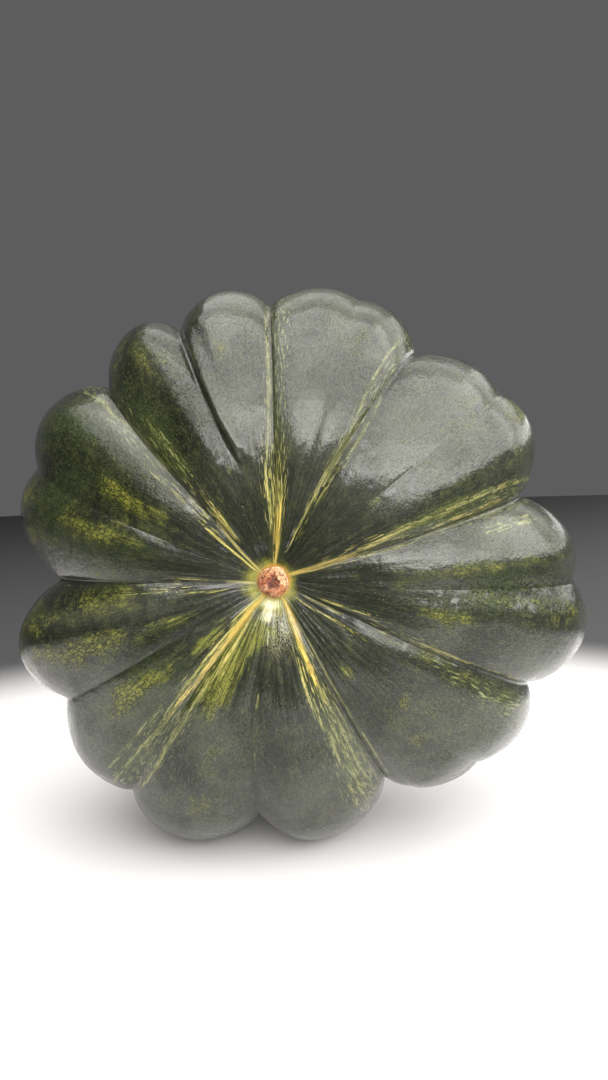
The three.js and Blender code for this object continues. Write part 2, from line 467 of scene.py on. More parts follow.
# %% [markdown]
# Dents, lines and bands of dashes all run along the lobes. So each is a path: a few rows that
# say where it lies at some distance from the blossom, and how wide and how strong it is there.
# Between the rows everything changes evenly. One helper follows them all.


# %% A helper that follows a path
def wrap(turn):
    """The same angle, as -180 to 180 degrees."""
    return (turn + 180) % 360 - 180


def follow(path, taper=6):
    """Follows a path of (mm from the blossom, degrees, width in mm, strength) rows.

    Gives each point's distance to the side of the path, in widths, and the path's strength,
    which is 0 before its first row and after its last.
    """
    along, turn, width, strength = np.array(path, dtype=float).T
    aside = np.radians(wrap(degree - np.interp(distance, along, turn))) * radius
    begun = np.clip((distance - along[0]) / taper, 0, 1)
    ends = begun * np.clip((along[-1] - distance) / taper, 0, 1)
    return aside / np.interp(distance, along, width), np.interp(distance, along, strength) * ends


# %% [markdown]
# A grown rind is never quite even. It has broad shallow swells, small wrinkles that run with
# the lobes, and fine pleats round the blossom. A sculpting brush would do too, but a brush
# stroke can't be repeated or changed later. Here smooth noise says how far each point moves.
# These moves go inwards, or stay under half a millimetre.

# %% Measure the swells, wrinkles and pleats
MOST_RISE = 0.3  # mm that a swell may push outwards
PLEAT_DEPTH = 0.32  # mm
PLEAT_MIDDLE, PLEAT_REACH = 18, 26  # mm from the blossom, and to either side of that
PLEAT_STRETCH = 500  # mm along a lobe that count as much as a radian across it


def ripple(places, size, seed):
    """Smooth noise of about -1..1 at each place, with swells of the given size in metres."""
    shift = Vector((seed * 17.3, seed * 5.1, seed * 9.7))
    return np.array([noise.noise(Vector(place) / size + shift) for place in places])


from_axis = points - np.array(AXIS)
swells = 0.8 * ripple(from_axis, 0.07, 1) + 0.4 * ripple(from_axis, 0.028, 2)
wrinkles = 0.2 * ripple(grain * (1, 1, 0.35), 0.008, 3) + 0.12 * ripple(points, 0.006, 4)
depth = np.maximum(-swells, -MOST_RISE) + np.abs(wrinkles)
pleat_grain = np.stack(
    [np.cos(np.radians(degree)), np.sin(np.radians(degree)), distance / PLEAT_STRETCH], axis=1
)
pleats = np.clip(ripple(pleat_grain, 0.12, 5) + 0.6 * ripple(pleat_grain, 0.05, 6), 0, None)
depth += PLEAT_DEPTH * pleats * np.exp(-((distance - PLEAT_MIDDLE) / PLEAT_REACH) ** 2)
print("swells and wrinkles up to %.1f mm deep" % depth.max())

# %% [markdown]
# The bottom of a furrow is a tight crease, too narrow for the coarse cage, and some lobes have
# a dent or a line along their flanks. A crease has a sharp bottom, and a dent is a path with a
# round hollow across it. A negative strength fills: it makes one furrow shallower.

# %% Press in the creases and dents
CREASE_DEPTHS = (  # mm, furrow by furrow
    1.3, 0.7, 1.1, 0.6, 1.4, 1.0, 1.2, 0.8, 1.2, 0.9, 1.1, 0.4, 1.2, 0.8, 1.3, 1.0
)
CREASE_WIDTH = 1.7  # mm
CREASE_INNER, CREASE_GROWTH = 9, 8  # mm from the axis, and over how many a crease deepens
CREASE_OUTER, CREASE_FADING = 230, 60  # mm from the blossom, and over how many it fades
DENTS = (
    [(52, 352, 3, 0), (58, 348, 3, 1.6), (64, 341, 3, 2.2), (74, 339.5, 2.6, 1.4),
     (92, 340, 2.4, 0)],
    [(50, 18, 4, 0), (80, 17, 6, 0.8), (110, 18, 7, 0.5), (150, 18, 8, 0)],
    [(55, 96, 4, 0), (80, 97, 6, 0.9), (120, 96, 7, 0.7), (170, 96, 8, 0)],
    [(50, 105, 6, 0), (80, 105, 9, 1.2), (130, 105, 12, 1.3), (175, 105, 12, 0)],
    [(35, 241, 5, 0), (65, 241, 7, -1.1), (100, 241, 9, -1.5), (140, 241, 9, -1.2),
     (185, 241, 8, 0)],
    [(40, 300, 3, 0), (62, 299, 4, 0.6), (100, 299, 6, 0.6), (150, 299, 6, 0)],
    [(70, 163, 2, 0), (100, 162.5, 2.2, 0.5), (150, 161.5, 2.2, 0.5), (200, 161, 2.2, 0.3),
     (260, 161, 2, 0)],
    [(90, 152, 2, 0), (120, 152.5, 2.4, 0.4), (160, 151.5, 2.4, 0.5), (200, 151, 2.2, 0.4),
     (260, 151, 2, 0)],
)
DENT_TAPER = 15  # mm over which a dent begins and ends


def furrow_start(furrow):
    """0 where a furrow hasn't begun yet, 1 where it is at full strength."""
    return np.clip((radius - FURROW_STARTS[furrow]) / FURROW_FADE, 0, 1)


for furrow, turn in enumerate(FURROW_TURNS):
    aside = np.abs(np.radians(wrap(degree - turn))) * radius
    begun = furrow_start(furrow) * np.clip((radius - CREASE_INNER) / CREASE_GROWTH, 0, 1)
    faded = np.clip((CREASE_OUTER - distance) / CREASE_FADING, 0, 1)
    depth += CREASE_DEPTHS[furrow] * begun * faded * np.exp(-aside / CREASE_WIDTH)
for path in DENTS:
    aside, strength = follow(path, taper=DENT_TAPER)
    depth += strength * np.exp(-aside ** 2)
print("creases and dents up to %.1f mm deep" % depth.max())

# %% [markdown]
# Beside furrow 15 the lobe stands up as a bank of about 3 mm: it rises steeply from the furrow
# and slopes gently away over the lobe. A round hollow can't give that, so the bank has one
# profile for its rise and one for its fall. Both are eased, so that no edge shows.

# %% Raise the bank beside furrow 15
BANK = [
    (50, 352, 7, 0), (58, 347.5, 8, -1.4), (66, 341.8, 9, -2.4), (78, 339.8, 9.5, -3.1),
    (105, 339.2, 9.5, -3.2), (135, 339, 10, -2.5), (168, 339, 10, 0),
]
BANK_CREST = 0.25  # share of the bank's width that the steep side takes


def ease(share):
    return share * share * (3 - 2 * share)


aside, strength = follow(BANK, taper=DENT_TAPER)
rise = np.clip(aside / BANK_CREST, 0, 1)
fall = np.clip((1 - aside) / (1 - BANK_CREST), 0, 1)
depth += strength * ease(rise) * ease(fall)
print("bank up to %.1f mm high" % -depth.min())

# %% Move the points of the rind
GROUND_FADE = 9 * MM  # the relief grows over this height, so that the feet stay flat
SCAR_SEAT, STALK_SEAT = 8, 30  # mm from either end of the axis that stay as measured
SCAR_FADE, STALK_FADE = 8, 12  # mm over which the relief then grows
BOX_SLACK = 0.01 * MM
raised = np.clip(points[:, 2] / GROUND_FADE, 0, 1)
off_scar = np.clip((distance - SCAR_SEAT) / SCAR_FADE, 0, 1)
off_stalk = np.clip((distance.max() - STALK_SEAT - distance) / STALK_FADE, 0, 1)
depth = depth * raised ** 2 * (off_scar * off_stalk)
points -= read_normals(skin) * depth[:, None] * MM
points[:, 1] = np.maximum(points[:, 1], cad_box[0][1] + BOX_SLACK)
points[:, 2] = np.maximum(points[:, 2], 0)
skin.data.vertices.foreach_set("co", points.astype(np.float32).ravel())
skin.data.update()
print("rind moved %.1f mm inwards to %.1f mm outwards" % (depth.max(), -depth.min()))

# %% [markdown]
# ## The rind's marks
#
# The young fruit is dark green. Golden and pale yellow lines run in and beside its furrows from
# the blossom, and olive patches lie on some lobes. An image could hold them, but only at one
# size. Here each line is a path drawn in degrees and millimetres, and each point of the rind
# stores how far it is from the nearest path. The material turns that distance into a crisp,
# broken line. A point can store only one distance in a layer, so lines that run close together
# are kept in separate layers.

# %% Draw the main line of each furrow
# Each line is a colour, from 0 for pale to 1 for gold, and the rows of its path:
# (mm from the blossom, degrees, width in mm, strength).
STRIPES = {}
STRIPES["stripe_a"] = (
    (0.85, [(5, 4, 2.4, 1), (10, 3.7, 3.4, 1), (18, 3.5, 5.4, 1), (25, 2.8, 5.2, 1),
            (33, 2.6, 4.8, 0.7), (42, 2.6, 4, 0.3)]),
    (0.2, [(15, 31.7, 1.1, 0.5), (22, 31.9, 1.2, 0.6), (60, 32.5, 1.7, 0.7), (85, 32.3, 1.7, 0.6),
           (105, 30.2, 1.5, 0.6), (120, 29.5, 1.5, 0.6), (140, 29.7, 1.6, 0.5), (200, 31, 1.6, 0.4),
           (300, 33.5, 3, 0.6), (400, 33.8, 3, 0.7)]),
    (0.85, [(5, 73.5, 1.6, 1), (12, 73.7, 2.6, 1), (20, 73.8, 3, 1), (30, 73.9, 3, 1),
            (38, 73.9, 2.4, 0.9), (48, 73.8, 1.2, 0.4)]),
    (0.75, [(80, 73.4, 1.3, 0.3), (90, 73.5, 1.9, 0.7), (110, 73.6, 2.4, 1), (130, 73.6, 2.4, 0.95),
            (142, 73.4, 1.6, 0.4)]),
    (0.3, [(22, 113.4, 1.2, 0.35), (28, 112.9, 1.6, 0.55), (38, 112.3, 2.1, 0.6),
           (47, 111.7, 1.9, 0.45), (54, 111.4, 1.4, 0.2)]),
    (0.6, [(68, 116, 1, 0.3), (75, 116, 1.6, 0.6), (88, 116, 2.2, 0.9), (98, 116, 2.2, 0.9),
           (112, 116, 1.6, 0.5), (125, 116, 1.3, 0.3), (146, 116, 1.5, 0.5), (190, 116.5, 1.7, 0.4),
           (250, 117, 3, 0.6), (400, 117, 3, 0.7)]),
    (0.95, [(5, 160, 2, 1), (12, 158.5, 3.6, 1), (21, 158, 4.8, 1), (28, 158.8, 4.6, 1),
            (33, 160.3, 3.4, 1), (46, 160.6, 2.6, 0.95), (60, 160.3, 1.7, 0.6),
            (72, 160.2, 1.2, 0.25)]),
    (0.95, [(5, 219.5, 2.6, 1), (12, 219, 4.2, 1), (20, 219, 5.6, 1), (26, 218, 4.8, 1),
            (35, 217.5, 3.8, 1), (45, 217.3, 3.4, 1), (60, 217.6, 3.1, 0.9), (75, 218.4, 2.5, 0.8),
            (90, 218.5, 2, 0.6), (102, 218.5, 1.4, 0.2)]),
    (0.35, [(5, 268.6, 1.2, 0.8), (10, 268.6, 1.4, 0.9), (22, 268.8, 1.3, 0.8),
            (28, 269.6, 1, 0.3)]),
    (0.4, [(5, 307.5, 1, 0.8), (12, 308, 1.3, 0.95), (25, 309.2, 1.4, 0.9), (42, 311.2, 1.4, 0.8),
           (50, 312, 1, 0.2)]),
    (0.2, [(72, 318.4, 1.1, 0.4), (80, 318.3, 1.6, 0.9), (110, 318.3, 1.7, 0.9),
           (120, 317.6, 1.6, 0.8), (130, 316.4, 1.7, 0.8), (150, 316.3, 1.7, 0.7),
           (170, 314.5, 1.6, 0.5), (250, 316, 3, 0.6), (400, 318, 3, 0.7)]),
)
print("stripe_a:", len(STRIPES["stripe_a"]), "lines")

# %% Draw the lines beside them
STRIPES["stripe_b"] = (
    (0.2, [(24, -4.4, 1.2, 0.5), (30, -4.5, 1.4, 0.7), (55, -5.5, 1.4, 0.7), (65, -3.6, 1.3, 0.7),
           (80, -2.4, 1.3, 0.8), (100, -1.7, 1.4, 0.9), (150, -1.5, 1.6, 0.7), (200, -1, 1.6, 0.6),
           (280, -1, 3, 0.6), (400, -1, 3, 0.7)]),
    (0.15, [(50, 34, 1, 0.3), (58, 34, 1.3, 0.5), (75, 33.5, 1.3, 0.5), (130, 33.2, 1.3, 0.5),
            (148, 32, 1.3, 0.4), (160, 32, 1, 0.1)]),
    (0.35, [(42, 72.8, 1.4, 0.5), (48, 72.5, 1.8, 0.7), (60, 70.6, 3, 0.75), (93, 69.8, 4, 0.7),
            (110, 69.8, 3.4, 0.5), (130, 70, 2.6, 0.4)]),
    (0.1, [(44, 76, 1, 0.3), (50, 76, 1.3, 0.6), (70, 76, 1.4, 0.7), (85, 74.9, 1.3, 0.7),
           (115, 75.1, 1.4, 0.75), (150, 75.6, 1.6, 0.8), (170, 76, 1.6, 0.7),
           (210, 76.4, 1.4, 0.4), (300, 76, 1.4, 0)]),
    (0.2, [(14, 118.6, 1, 0.3), (20, 118.4, 1.2, 0.6), (35, 118.4, 1.3, 0.6), (42, 118.3, 1, 0.2)]),
    (0.15, [(20, 154.6, 1.1, 0.4), (25, 154.5, 1.4, 0.7), (60, 154.5, 1.4, 0.7),
            (80, 153.7, 1.4, 0.7), (110, 153.7, 1.4, 0.6), (120, 154, 1.3, 0.5),
            (160, 154, 1.4, 0.4), (210, 153, 1.5, 0.4), (300, 153, 2, 0)]),
    (0.3, [(36, 165.8, 1.2, 0.4), (42, 165.6, 1.6, 0.65), (60, 165.6, 1.6, 0.65),
           (85, 163, 1.5, 0.6), (110, 163, 1.5, 0.5), (145, 163.5, 1.6, 0.4),
           (200, 162, 1.8, 0.3)]),
    (0.35, [(18, 211.5, 1.3, 0.5), (25, 211, 1.7, 0.8), (40, 211, 1.9, 0.8), (60, 213, 2.1, 0.8),
            (80, 213, 2.3, 0.8), (95, 213.7, 2.3, 0.8), (125, 213.7, 2.1, 0.7),
            (150, 214.6, 1.7, 0.6), (200, 216, 1.5, 0.6), (300, 216.3, 3, 0.6),
            (400, 216.2, 3, 0.7)]),
    (0.25, [(20, 270.3, 1.1, 0.4), (30, 270.6, 1.3, 0.5), (48, 271.5, 1.3, 0.4),
            (56, 271.8, 1, 0.1)]),
    (0.45, [(5, 314, 1, 0.8), (12, 314.2, 1.3, 0.95), (20, 314.2, 1.4, 0.95), (28, 316, 1.5, 0.85),
            (37, 318, 1.5, 0.7), (44, 319, 1, 0.3)]),
)
print("stripe_b:", len(STRIPES["stripe_b"]), "lines")

# %% Draw the thin side lines
STRIPES["stripe_c"] = (
    (0.9, [(22, 5.5, 1.2, 0.6), (30, 5.3, 1.5, 0.9), (38, 5.2, 1.5, 0.9), (48, 5, 1, 0.2)]),
    (0.05, [(62, 36.6, 1, 0.3), (68, 36.4, 1.6, 0.7), (85, 35.9, 1.4, 0.7), (105, 34.9, 1.3, 0.7),
            (118, 34, 1.1, 0.4)]),
    (0.6, [(128, 70.3, 1.8, 0.4), (136, 70.4, 2.4, 0.65), (175, 71.7, 2.6, 0.6),
           (230, 73, 2.4, 0.4), (300, 74.5, 3, 0.6), (400, 75, 3, 0.7)]),
    (0.1, [(112, 79, 3, 0.2), (125, 79, 5.5, 0.45), (150, 79, 5.5, 0.45), (165, 79, 4, 0.1)]),
    (0.4, [(10, 130.5, 1, 0.4), (20, 127.9, 1.3, 0.5), (35, 124.7, 1.4, 0.5), (52, 124, 1.4, 0.25),
           (58, 124, 1, 0.1)]),
    (0.25, [(56, 157, 1.1, 0.4), (90, 157, 1.3, 0.6), (150, 157, 1.4, 0.5), (200, 157, 1.5, 0.4),
            (280, 157, 3, 0.6), (400, 157, 3, 0.7)]),
    (0.15, [(52, 186.5, 1, 0.3), (60, 186.5, 1.2, 0.5), (95, 186.5, 1.2, 0.45),
            (104, 186.5, 1, 0.1)]),
    (0.3, [(22, 221.6, 1.2, 0.5), (28, 221.5, 1.5, 0.7), (50, 221.5, 1.6, 0.7),
           (60, 220.2, 1.5, 0.7), (80, 220.4, 1.4, 0.6), (95, 218.4, 1.6, 0.6),
           (118, 219.4, 1.9, 0.65), (150, 220, 1.9, 0.5), (250, 219, 2, 0.2), (400, 218, 3, 0.3)]),
    (0.2, [(22, 259.5, 1, 0.2), (30, 260.5, 1.3, 0.4), (45, 263, 1.4, 0.4), (55, 264.8, 1.4, 0.35),
           (68, 265.2, 1.3, 0.3), (92, 265.5, 1, 0.1)]),
    (0.2, [(120, 268.5, 1.2, 0.2), (200, 268.5, 1.6, 0.4), (280, 269, 3, 0.6), (400, 269, 3, 0.7)]),
    (0.35, [(24, 320, 1.6, 0.5), (30, 320.4, 2.4, 0.7), (45, 321.8, 2.8, 0.6),
            (56, 322.4, 2.2, 0.15)]),
)
print("stripe_c:", len(STRIPES["stripe_c"]), "lines")

# %% Draw the last loose lines
STRIPES["stripe_d"] = (
    (0.3, [(62, 158.9, 1.1, 0.4), (90, 158.9, 1.3, 0.65), (130, 158.9, 1.3, 0.55),
           (170, 158.6, 1.3, 0.3)]),
    (0.3, [(70, 161, 1.1, 0.4), (90, 161, 1.3, 0.65), (130, 161.2, 1.3, 0.55),
           (170, 161, 1.3, 0.3)]),
    (0.2, [(82, 222.2, 1.6, 0.3), (92, 222.4, 2.2, 0.5), (135, 222.6, 2.2, 0.5),
           (160, 222.6, 2, 0.2)]),
    (0.3, [(5, 226, 1.2, 0.8), (10, 226.2, 1.5, 0.9), (28, 226.2, 1.3, 0.7), (34, 226.2, 1, 0.2)]),
    (0.2, [(54, 314, 1, 0.2), (65, 314, 1.2, 0.45), (88, 314, 1.2, 0.35), (98, 314, 1, 0.1)]),
    (0.15, [(64, 323, 2.6, 0.2), (74, 323, 3.6, 0.5), (104, 323, 3.6, 0.45), (116, 323, 2.6, 0.1)]),
)
print("stripe_d:", len(STRIPES["stripe_d"]), "lines")

# %% Draw the bands of loose dashes
# Each band is a colour, as above, and rows of (mm, degrees, half width in mm, cover).
SPRAYS = (
    (0.35, [(22, 1.5, 4, 0.5), (45, 0, 5.5, 0.8), (60, 0, 6.5, 0.7), (90, 0.5, 6, 0.5),
            (150, 1.5, 7, 0.5), (180, 1, 7, 0.4), (260, 0, 9, 0.6), (400, 0, 7, 0.8)]),
    (0.15, [(20, 32.5, 2, 0.3), (60, 32.8, 4, 0.5), (100, 32, 4.5, 0.45), (150, 31, 5, 0.35),
            (250, 33, 8, 0.5), (400, 34, 7, 0.8)]),
    (0.45, [(22, 74, 2.2, 0.4), (60, 72.5, 4.5, 0.55), (95, 72, 6, 0.6), (130, 73, 8, 0.6),
            (175, 74, 8, 0.5), (260, 75, 9, 0.6), (400, 75, 7, 0.8)]),
    (0.1, [(40, 116, 4, 0.2), (80, 116, 4, 0.4), (115, 121, 6, 0.35), (150, 121.5, 7, 0.5),
           (175, 120, 7, 0.3), (260, 117, 9, 0.55), (400, 117, 7, 0.8)]),
    (0.3, [(30, 160, 3.5, 0.4), (60, 160, 5.5, 0.6), (90, 159.5, 7.5, 0.6), (120, 160, 10, 0.7),
           (150, 160, 10, 0.6), (190, 159, 8, 0.45), (260, 157, 9, 0.6), (400, 156, 7, 0.8)]),
    (0.45, [(22, 217, 4, 0.4), (50, 216.5, 6.5, 0.6), (80, 216.5, 7.5, 0.6), (120, 217, 9, 0.6),
            (150, 217.5, 9, 0.5), (200, 217, 8, 0.5), (400, 216, 7, 0.8)]),
    (0.2, [(30, 267, 3, 0.3), (60, 268, 4, 0.25), (120, 268.5, 3, 0.15), (250, 269, 8, 0.55),
           (400, 269, 7, 0.8)]),
    (0.2, [(30, 316, 4, 0.3), (70, 319, 5.5, 0.45), (110, 318, 6.5, 0.5), (150, 316.5, 6.5, 0.45),
           (200, 316, 7, 0.4), (280, 317, 9, 0.6), (400, 318, 7, 0.8)]),
)
print("sprays along", len(SPRAYS), "furrows")


# %% Keep the lines and dashes on the points
NARROWING = ((12, 30, 75), (0.6, 0.68, 0.9))  # mm, and the share of its width that a line has
FAR_OFF = 9.0  # widths, where no line is near
LINE_REACH, LEAST_REACH = 2, 4  # widths and mm from its path to where a line starts to fade
LINE_FADE = 2  # mm


def store(piece, name, values):
    """Keeps one number or one vector for every point of the mesh."""
    kind = "FLOAT" if values.ndim == 1 else "FLOAT_VECTOR"
    field = "value" if values.ndim == 1 else "vector"
    layer = piece.data.attributes.new(name, kind, "POINT")
    layer.data.foreach_set(field, values.astype(np.float32).ravel())


def line_layer(lines):
    """For each point: distance from the nearest line in widths, its strength, and its colour."""
    marks = np.tile([FAR_OFF, 0, 0], (len(degree), 1))
    for colour, rows in lines:
        path = np.array(rows, dtype=float)
        path[:, 2] *= np.interp(path[:, 0], *NARROWING)
        aside, strength = follow(path)
        on_path = (distance > path[0, 0]) & (distance < path[-1, 0])
        nearer = on_path & (np.abs(aside) < np.abs(marks[:, 0]))
        marks[nearer, 0] = aside[nearer]
        width = np.interp(distance, path[:, 0], path[:, 2])
        beyond = np.abs(aside) * width - np.maximum(LINE_REACH * width, LEAST_REACH)
        marks[nearer, 1] = (strength * np.clip(1 - beyond / LINE_FADE, 0, 1))[nearer]
        marks[nearer, 2] = colour
    return marks


def spray_layer(bands):
    """For each point: the cover of the strongest band there, and its colour."""
    marks = np.zeros((len(degree), 2))
    for colour, path in bands:
        aside, cover = follow(path)
        cover = cover * np.exp(-aside ** 2)
        stronger = cover > marks[:, 0]
        marks[stronger, 0] = cover[stronger]
        marks[stronger, 1] = colour
    return marks


for layer_name, lines in STRIPES.items():
    store(skin, layer_name, line_layer(lines))
store(skin, "grain", grain)
sprays = spray_layer(SPRAYS)
print("layers of lines:", len(STRIPES))

# %% [markdown]
# The olive patches, the cream stain under the blossom and the silver scurf below it, with its
# painted glints, have soft edges, so they are plain ovals. The material roughens their edges with
# noise, because an even edge would look sprayed on. A yellow-green halo runs round the scar,
# where the flower sat, and round the foot of the stalk.

# %% Draw the patches
# An oval is (mm from the blossom, degrees, half length in mm, half width in mm, strength).
OLIVE = [
    # on the blossom face, clockwise
    (170, 4, 20, 10, 0.6), (130, 21, 44, 8, 0.5), (78, 32.8, 20, 3, 0.8), (140, 52, 30, 10, 0.35),
    (62, 54.5, 9, 3.5, 0.5), (178, 58, 26, 10, 0.75), (150, 65.8, 24, 4, 0.4),
    (120, 66, 60, 9, 0.3), (110, 88.5, 44, 4, 0.8), (125, 97, 24, 6, 0.7), (160, 99, 20, 8, 0.7),
    (90, 104, 24, 7, 0.65), (120, 118.8, 50, 4, 0.6), (90, 134.5, 13, 4, 0.6),
    (115, 140, 40, 8, 0.5), (58, 142, 10, 3.5, 0.6), (120, 199.5, 32, 7, 0.55),
    (28, 202, 10, 7.5, 1.6), (175, 205, 30, 12, 0.2), (52, 206.5, 22, 8, 1.7), (47, 230, 14, 4, 1),
    (92, 233, 34, 7.5, 1), (170, 235, 30, 9, 0.3), (50, 248.5, 12, 3, 0.9), (110, 251, 40, 9, 1.15),
    (160, 252, 34, 9, 0.7), (150, 260, 34, 10, 0.9), (100, 260.5, 50, 4.5, 0.8),
    (150, 262, 36, 10, 0.8), (95, 263, 30, 10, 0.85), (150, 280, 24, 8, 0.6),
    (100, 287.3, 32, 6, 0.75), (83, 288.6, 11, 5, 0.8), (165, 289, 30, 8, 0.6),
    (140, 300, 26, 7, 0.35), (88, 301.2, 20, 5.5, 1), (76, 303, 20, 4.5, 0.8),
    (170, 325, 26, 12, 0.6), (140, 327.3, 36, 7, 0.6), (145, 329, 28, 8, 1),
    (127, 346.5, 16, 4.5, 0.6),
    # round the rim and on the back
    (360, 20, 30, 10, 0.5), (260, 35, 50, 16, 0.6), (300, 80, 40, 14, 0.7), (250, 120, 40, 14, 0.5),
    (320, 150, 40, 12, 0.6), (270, 195, 50, 14, 0.7), (330, 240, 40, 12, 0.6),
    (260, 270, 40, 14, 0.6), (310, 310, 40, 12, 0.7), (250, 350, 40, 14, 0.5),
]
CREAM = [(17.5, 188, 5.5, 4.2, 0.66), (12, 192, 4, 6, 0.85), (30, 184, 6, 2, 0.3)]
# silver scurf, partly painted glints
SCURF_AND_GLINTS = [(24, 170, 8, 4, 0.6), (31, 178, 6, 3, 0.5)]


def blot(ovals):
    """For each point: the strength of the strongest soft oval there."""
    total = np.zeros(len(degree))
    for along, turn, length, width, strength in ovals:
        aside = np.radians(wrap(degree - turn)) * radius
        falling = np.exp(-((distance - along) / length) ** 2 - (aside / width) ** 2)
        total = np.maximum(total, strength * falling)
    return total


SCAR_EDGE, STALK_EDGE = 9, 24  # mm from either end of the axis, where its halo is strongest
SCAR_GLOW, STALK_GLOW = 5, 14  # mm, how far each halo reaches beyond that
HALO_STRENGTH, HALO_UNEVEN, STALK_HALO = 0.75, 0.35, 0.45
HALO_WEAK_SIDE = 50  # degrees
halo = np.exp(-np.clip(distance - SCAR_EDGE, 0, None) / SCAR_GLOW)
halo *= HALO_STRENGTH - HALO_UNEVEN * np.cos(np.radians(degree - HALO_WEAK_SIDE))
past_stalk_edge = np.clip(distance.max() - STALK_EDGE - distance, 0, None)
halo += STALK_HALO * np.exp(-past_stalk_edge / STALK_GLOW)
store(skin, "patches", np.stack([blot(OLIVE), blot(CREAM), halo], axis=1))
print("olive patches:", len(OLIVE))

# %% [markdown]
# Wax makes the rind shine, and it isn't even. A grey veil lies on the upper lobes, part wax
# bloom and part painted sheen, and the shine is rubbed off in patches and round the blossom,
# though on two lobes it reaches further in. The sharp furrows get painted shade along their
# bottoms. These too are ovals and soft bands, kept on the points so that the material can read
# them.

# %% Draw the bloom and painted sheen, the dull places and the painted shade in the furrows
# ovals of the grey veil: wax bloom, and a painted sheen on the lobes that face the sky
BLOOM_AND_SHEEN = [
    (110, 18, 60, 30, 1), (110, 45, 60, 24, 1), (150, 60, 40, 20, 0.8), (120, 84, 50, 12, 0.9),
    (145, 112, 45, 25, 0.6), (190, 140, 40, 40, 0.5), (150, 180, 60, 80, 0.7),
    (150, 232, 50, 40, 0.6), (95, 260, 55, 7, 1), (150, 279, 25, 10, 1), (130, 280, 40, 12, 0.6),
    (90, 316, 50, 5, 0.8), (140, 330, 30, 8, 0.8), (100, 350, 50, 20, 0.9),
]
DULL = [
    (44, 4, 10, 4, 0.9), (80, 35, 10, 14, 0.5), (69, 56, 7, 6, 0.7), (75, 62, 12, 9, 0.4),
    (165, 84, 14, 8, 0.6), (122, 94.6, 40, 5, 1), (95, 98, 60, 8, 0.9), (135, 98, 30, 8, 0.9),
    (26, 119.5, 14, 3, 0.7), (104, 119.6, 36, 6, 1), (40, 120, 11, 5, 0.8),
    (92, 289.5, 30, 6, 0.85), (146, 308.5, 14, 8, 0.85), (26, 313, 17, 6, 0.9),
    (110, 333, 60, 7, 0.55), (62, 334, 12, 6, 0.95),
]
GLOSSY_LOBES = (80, 265)  # degrees, where the shine reaches in towards the blossom
GLOSSY_HALF_WIDTH = 8  # degrees
GLOSSY_KEPT = 0.85  # share of the loss that doesn't happen there
RUBBED = 0.45  # the shine's loss round the blossom, at the sides; twice that at the top
RUBBED_OUT_TO, RUBBED_FADE = 82, 38  # mm from the blossom, and over how many it fades
SHADE_WIDTH = 2.2  # mm
# painted shade along the bottom of each sharp furrow
crease_shade = np.zeros(len(degree))
for furrow, turn in enumerate(FURROW_TURNS):
    aside = np.abs(np.radians(wrap(degree - turn))) * radius
    shade = CREASE_WEIGHTS[furrow] * furrow_start(furrow) * np.exp(-aside / SHADE_WIDTH)
    crease_shade = np.maximum(crease_shade, shade)
# stored: the bloom with its painted sheen, the painted crease shade, and the scurf with its painted
# glints
store(skin, "bloom_sheen_shade_scurf", np.stack([blot(BLOOM_AND_SHEEN), crease_shade, blot(SCURF_AND_GLINTS)], axis=1))
rubbed = RUBBED + RUBBED * np.cos(np.radians(degree))
for turn in GLOSSY_LOBES:
    rubbed *= 1 - GLOSSY_KEPT * np.exp(-(wrap(degree - turn) / GLOSSY_HALF_WIDTH) ** 2)
rubbed *= np.clip((RUBBED_OUT_TO - distance) / RUBBED_FADE, 0, 1)
dullness = np.maximum(blot(DULL), rubbed)
store(skin, "spray", np.column_stack([sprays, dullness]))
print("dull on %.0f %% of the rind" % (100 * (dullness > 0.5).mean()))

# %% [markdown]
# The rind itself is built up like paint: a mottled green ground, a fine yellow-green fleck
# drawn out along the lobes, the olive patches with their net of dark lines, then the lines,
# broken by the same fleck, and a thin veil of wax over all. One flat green would look like
# plastic. The greens are darker than they seem, because the wax adds its own light.

# %% Mix the greens of the rind
DEEP_GREEN = (0.0035, 0.0055, 0.0016, 1)
LIFTED_GREEN = (0.0115, 0.0145, 0.0042, 1)
LEAFY_GREEN = (0.026, 0.040, 0.011, 1)
DARK_SPECK = (0.0015, 0.002, 0.001, 1)
FLECK_GREEN = (0.040, 0.044, 0.013, 1)
STRAW_SPECK = (0.085, 0.100, 0.042, 1)
OLIVE_YELLOW = (0.165, 0.165, 0.026, 1)
OLIVE_GREEN = (0.060, 0.076, 0.014, 1)
NET_GREEN = (0.011, 0.015, 0.003, 1)
PALE_YELLOW = (0.40, 0.39, 0.15, 1)
LEAF_YELLOW = (0.21, 0.215, 0.035, 1)
FAR_STRAW = (0.155, 0.165, 0.065, 1)
FAR_LEAF = (0.075, 0.085, 0.018, 1)
GOLD = (0.78, 0.53, 0.115, 1)
AMBER = (0.36, 0.20, 0.03, 1)
HALO_GREEN = (0.30, 0.29, 0.04, 1)
RING_ORANGE = (0.52, 0.27, 0.05, 1)
CREAM_WHITE = (0.68, 0.64, 0.36, 1)
PAINTED_CREASE_SHADE = (0.008, 0.009, 0.004, 1)
# grey of the veil: wax bloom, partly a painted sheen
BLOOM_SHEEN_GREY = (0.104, 0.107, 0.088, 1)
print("greens from %.4f to %.2f" % (DARK_SPECK[1], OLIVE_YELLOW[1]))


